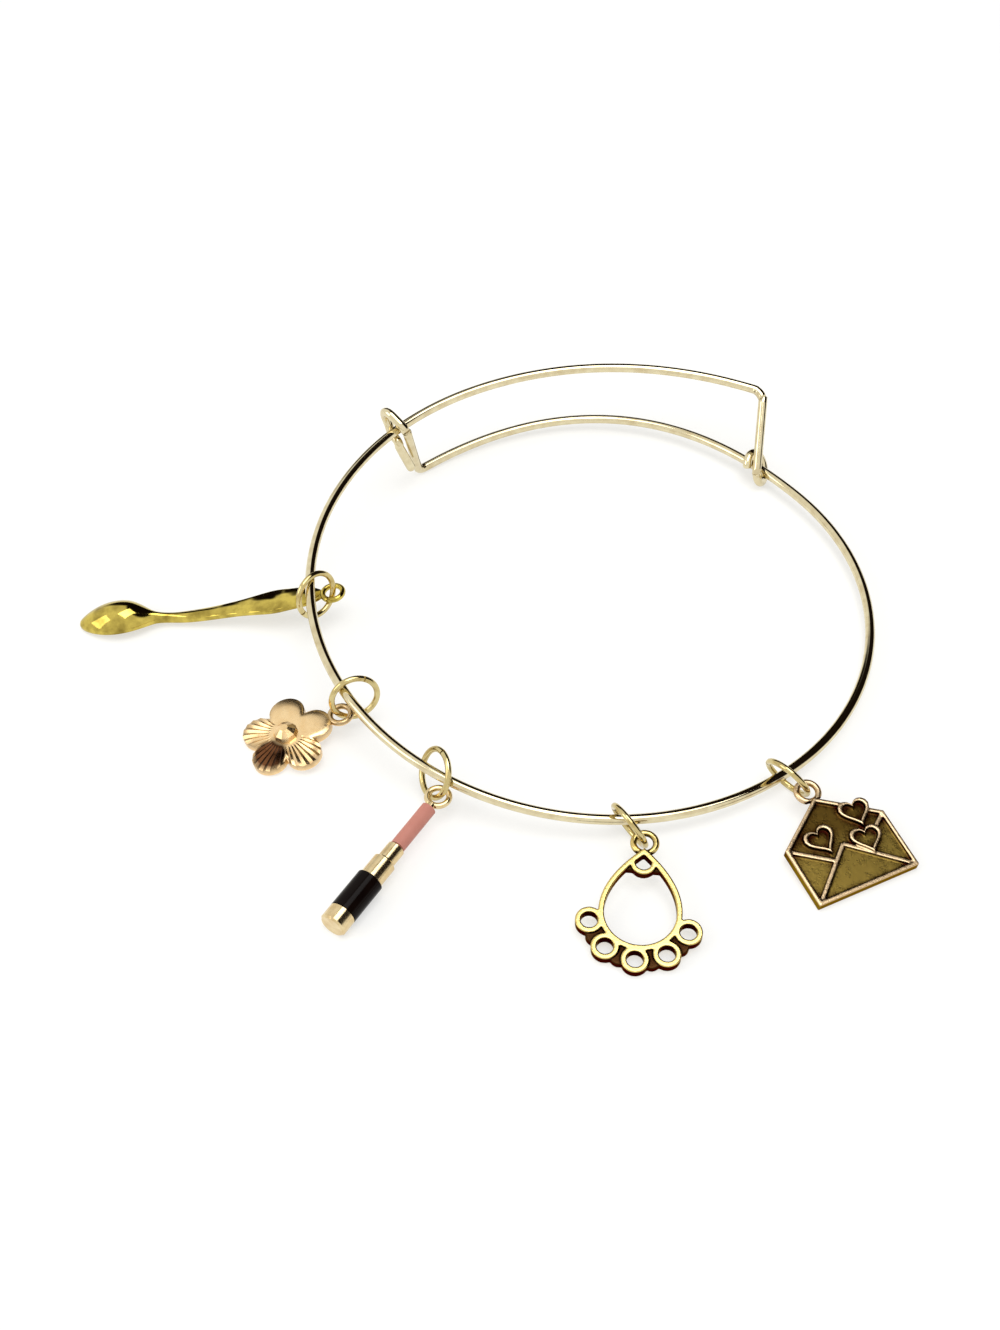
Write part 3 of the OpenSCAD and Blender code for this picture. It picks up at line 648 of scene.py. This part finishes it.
def antique(name, rim, field, far_field, closed_in_patina_and_shade, reach, rough):
    """rim, field and the closed-in colour go from rubbed to closed in. The closed-in colour is partly
    patina and partly painted shade. far_field is the field's colour at the charm's far end. reach is
    how far the patina and painted shade come out of the corners, in mm."""
    material, nodes, links, shader = new_material(name)
    where = nodes.new("ShaderNodeTexCoord").outputs["Object"]
    cloud = noise(nodes, links, where, 1500, 4.0, 0.6)
    closed = nodes.new("ShaderNodeAmbientOcclusion")
    closed.inputs["Distance"].default_value = reach * MM
    closed.samples = 12
    closed.only_local = True
    uneven = nodes.new("ShaderNodeMath")
    uneven.operation = "MULTIPLY_ADD"
    uneven.inputs[1].default_value = UNEVENNESS
    links.new(cloud, uneven.inputs[0])
    links.new(closed.outputs["AO"], uneven.inputs[2])
    open_share = spread(nodes, links, uneven.outputs["Value"], *OPEN, 0.0, 1.0)
    far = spread(nodes, links, stored(nodes, "along"), *FAR_END, 0.0, 1.0)
    sunk = blend_colours(nodes, links, far, field, far_field)
    # Closed-in places take the closed-in colour, which is partly patina and partly painted shade
    sunk = blend_colours(nodes, links, open_share, closed_in_patina_and_shade, sunk)
    high = spread(nodes, links, stored(nodes, "relief"), *RUBBED_RELIEF, 0.0, 1.0)
    free = spread(nodes, links, uneven.outputs["Value"], *OPEN_FOR_RUBBING, 0.0, 1.0)
    finish = blend_colours(nodes, links, times(nodes, links, high, free), sunk, rim)
    links.new(finish, shader.inputs["Base Color"])
    shader.inputs["Metallic"].default_value = 1.0
    # Metal mirrors white at its edges. That edge is browned so that the patina and painted shade in the holes
    # stay dark
    shader.inputs["Specular Tint"].default_value = EDGE_BROWN
    links.new(spread(nodes, links, cloud, 0.3, 0.7, rough * 0.8, rough * 1.3), shader.inputs["Roughness"])
    pits = noise(nodes, links, where, 5000, 3.0)
    links.new(bump(nodes, links, pits, PIT_DEPTH * MM), shader.inputs["Normal"])
    return material


teardrop_plate = antique(
    "teardrop_plate",
    rim=(0.66, 0.51, 0.19, 1),
    field=(0.04, 0.018, 0.006, 1),
    far_field=(0.04, 0.018, 0.006, 1),
    # The closed-in colour: patina and painted shade
    closed_in_patina_and_shade=(0.012, 0.003, 0.001, 1),
    reach=2.2,
    rough=0.2,
)
envelope_plate = antique(
    "envelope_plate",
    rim=(0.64, 0.47, 0.28, 1),
    field=(0.11, 0.065, 0.012, 1),
    far_field=(0.24, 0.165, 0.035, 1),
    # The closed-in colour: patina and painted shade
    closed_in_patina_and_shade=(0.018, 0.001, 0.001, 1),
    reach=0.8,
    rough=0.28,
)

print("antique finishes:", teardrop_plate.name, envelope_plate.name)

# %% [markdown]
# Both antique charms are cast. Each gets a copy of its solid with soft edges, and the heights in
# millimetres between which its relief goes from dark to rubbed.

# %% Teardrop and envelope
teardrop = cast_copy("teardrop_cast", "teardrop", "teardrop_charm", 0.07, 3, 0.32, 0.48)
dress(teardrop, teardrop_plate, "antique_gold", "teardrop_charm")
envelope = cast_copy("envelope_cast", "envelope", "envelope_charm", 0.07, 3, 0.23, 0.40)
dress(envelope, envelope_plate, "antique_brass", "envelope_charm")

# %% [markdown]
# The flower is stamped and then cut: its petals are satin, and bright flat cuts fan out over three
# of them, round a ball with flat cuts. Its CAD solid has these cuts as flat faces, so the copy
# keeps them sharp and only the rest is shaded smooth.

# %% Sharp copies
SHARP_ANGLE = math.radians(28)


def sharp_copy(name, node, sharp_angle=SHARP_ANGLE):
    """A copy of a CAD node that is smooth but for its edges sharper than sharp_angle."""
    solid = welded(node)
    join_triangles(solid, 12, 60)
    for face in solid.faces:
        face.smooth = True
    for edge in solid.edges:
        if len(edge.link_faces) == 2:
            edge.smooth = edge.calc_face_angle(0) < sharp_angle
    return piece_from(name, solid)


print("edges sharper than", round(math.degrees(SHARP_ANGLE)), "degrees stay sharp")

# %% [markdown]
# The cuts of one petal are painted nearly black as a painted dark reflection. The bottoms of the
# others are painted a little dark as painted shade. A round spot in the charm's own axes says where
# the dark petal is, and the depth below the face tells a cut's bottom.

# %% Painted dark reflection and shade
# The dark petal's middle in the flower's own axes, and the radii where the painted reflection fades, in mm
DARK_PETAL = (8.45, 1.76)
DARK_RADII = (1.6, 2.1)
# The height of the petals' face, and how deep and how dark the painted shade in the cuts gets below it, in mm
FACE_HEIGHT = 0.56
CUT_DEPTH = 0.3
CUT_PAINTED_SHADE = 0.5


def paint_dark_reflection_and_shade(piece, charm, middle, radii):
    """Stores a painted dark reflection that is full inside the first radius and gone outside the
    second, and painted shade at the bottoms of the cuts.
    """
    places = np.array([own_axes(charm).inverted() @ v.co for v in piece.data.vertices]) / MM
    away = np.linalg.norm(places[:, :2] - np.array(middle), axis=1)
    height = places[:, 2]
    painted_dark = np.clip((radii[1] - away) / (radii[1] - radii[0]), 0, 1)
    # Painted shade at the bottoms of the cuts
    painted_dark = np.maximum(painted_dark, CUT_PAINTED_SHADE * np.clip((FACE_HEIGHT - height) / CUT_DEPTH, 0, 1))
    store(piece.data, "painted_dark", np.where(height > 0, painted_dark, 0.0))


FLOWER_SHARP_ANGLE = math.radians(20)
# The flower's dark colour is painted: a dark reflection on one petal, and shade in the cuts
flower_plate = plated(
    "flower_plate", (0.94, 0.70, 0.39, 1), (0.86, 0.60, 0.30, 1), 0.24, 1.0, 4.0, painted_dark=(0.05, 0.02, 0.008, 1)
)
flower = sharp_copy("flower_cut", "flower_charm", FLOWER_SHARP_ANGLE)
paint_dark_reflection_and_shade(flower, "flower", DARK_PETAL, DARK_RADII)
dress(flower, flower_plate, "peach_gold", "flower_charm")

# %% [markdown]
# Enamel is glass melted onto the metal. It is deep in colour and smooth, with a slight swell where
# it ran before it set. A small gloss is enough: a strong one would wash the black out.

# %% Enamel
SWELL_DEPTH = 0.01


def enamel(name, colour, deep, rough):
    """Fired glass: a gloss coat over a slightly cloudy colour."""
    material, nodes, links, shader = new_material(name)
    where = nodes.new("ShaderNodeTexCoord").outputs["Object"]
    cloud = noise(nodes, links, where, 700, 3.0)
    links.new(blend_colours(nodes, links, cloud, colour, deep), shader.inputs["Base Color"])
    shader.inputs["Roughness"].default_value = rough
    shader.inputs["Specular IOR Level"].default_value = 0.06
    shader.inputs["Coat Weight"].default_value = 0.02
    shader.inputs["Coat Roughness"].default_value = 0.05
    swell = noise(nodes, links, where, 500, 1.0)
    links.new(bump(nodes, links, swell, SWELL_DEPTH * MM), shader.inputs["Normal"])
    return material


lipstick_plate = plated("lipstick_plate", (0.78, 0.64, 0.38, 1), (0.66, 0.49, 0.25, 1), 0.16, 1.0, 4.0)
black_enamel = enamel("black_enamel", (0.002, 0.001, 0.001, 1), (0.006, 0.003, 0.002, 1), 0.12)
pink_enamel = enamel("pink_enamel", (0.47, 0.19, 0.15, 1), (0.53, 0.235, 0.19, 1), 0.25)
print("enamels:", black_enamel.name, pink_enamel.name)

# %% [markdown]
# The lipstick is one turned metal piece with two bands of enamel let into it.

# %% Lipstick
lipstick = sharp_copy("lipstick_turned", "lipstick_body")
dress(lipstick, lipstick_plate, "lipstick_gold", "lipstick_body")
black_band = sharp_copy("lipstick_black_band", "lipstick_black_enamel")
dress(black_band, black_enamel, "black_enamel", "lipstick_black_enamel")
pink_stick = sharp_copy("lipstick_pink_stick", "lipstick_pink_enamel")
dress(pink_stick, pink_enamel, "pink_enamel", "lipstick_pink_enamel")

# %% [markdown]
# The spoon is the brightest piece: a smooth mirror with soft forms, so any facet would show. The
# CAD loft is turned into four-sided faces and subdivided, which is how soft metal is modelled.

# %% Soft copies
def soft_copy(name, node, levels):
    """A subdivided copy of a CAD node."""
    solid = welded(node)
    join_triangles(solid, 50, 70)
    piece = piece_from(name, solid)
    divide = piece.modifiers.new("divide", "SUBSURF")
    divide.levels = levels
    divide.render_levels = levels
    apply_modifiers(piece)
    return piece


spoon = soft_copy("spoon_soft", "spoon_charm", 2)
print("the soft spoon has", len(spoon.data.vertices), "vertices")

# %% [markdown]
# The handle has a cast ornament, too blurred in the photo to copy. An uneven finish stands for it.
# It fades out toward the bowl, which is nearly plain.

# %% Spoon
# The lengths between which the handle's ornament fades out, in mm from the middle of the loop
ORNAMENT_FADE = (11.0, 16.0)
# How strong it is on the handle and on the bowl
ORNAMENT_SHARES = (1.0, 0.06)


def carve(piece, charm, fade, shares):
    """Stores how strongly the piece is carved before and after it fades."""
    lengths = [(own_axes(charm).inverted() @ v.co).x / MM for v in piece.data.vertices]
    store(piece.data, "carved", np.interp(lengths, fade, shares))


spoon_plate = plated(
    "spoon_plate", (0.66, 0.52, 0.11, 1), (0.26, 0.19, 0.035, 1), 0.08, 1.0, 600.0, 600.0, carved=True
)
carve(spoon, "spoon", ORNAMENT_FADE, ORNAMENT_SHARES)
dress(spoon, spoon_plate, "yellow_gold", "spoon_charm")
